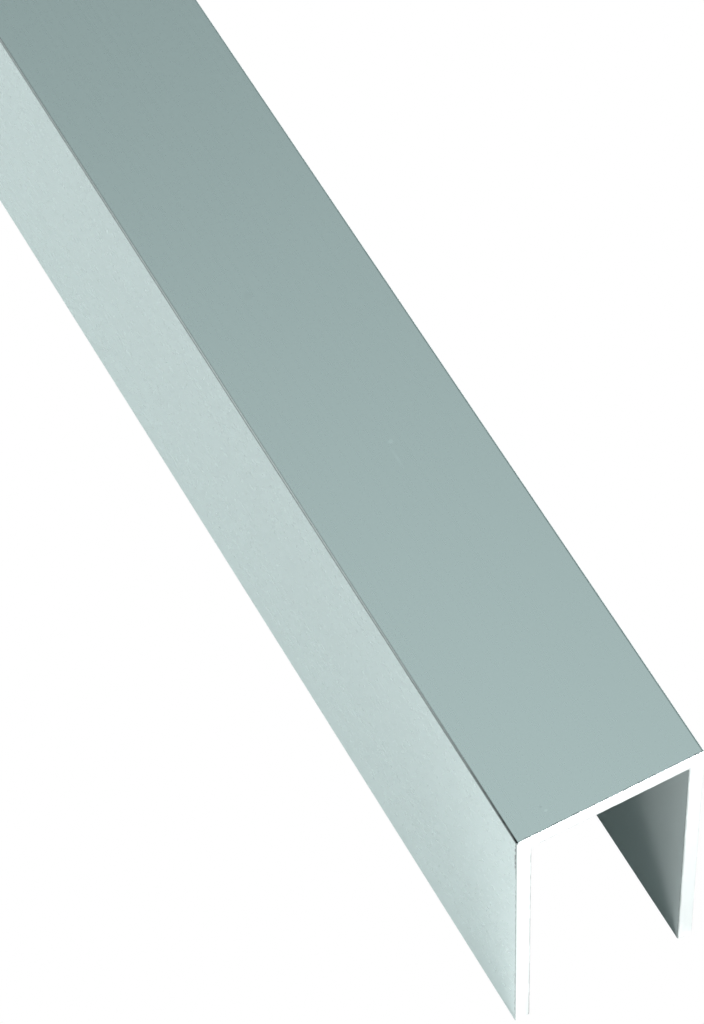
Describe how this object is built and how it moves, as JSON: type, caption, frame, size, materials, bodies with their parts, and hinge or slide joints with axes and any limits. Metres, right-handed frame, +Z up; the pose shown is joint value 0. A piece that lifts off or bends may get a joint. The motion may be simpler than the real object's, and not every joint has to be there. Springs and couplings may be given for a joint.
{
  "type": "aluminium u-channel extrusion",
  "caption": "Straight length of silver anodised aluminium channel with a deep U section, thin walls, crisp edges and square sawn ends, standing on its leg tips.",
  "frame": {"origin": "on the floor, midway between the two legs and halfway along the length", "axes": "+X across the section, +Y along the length, +Z up, from the leg tips to the web"},
  "size_m": [0.025, 1, 0.045],
  "materials": {
    "silver_anodised": "matt silver anodised skin with fine die lines along the length, bare sawn ends"
  },
  "bodies": {
    "root": {"u_channel": "silver_anodised"}
  },
  "joints": []
}
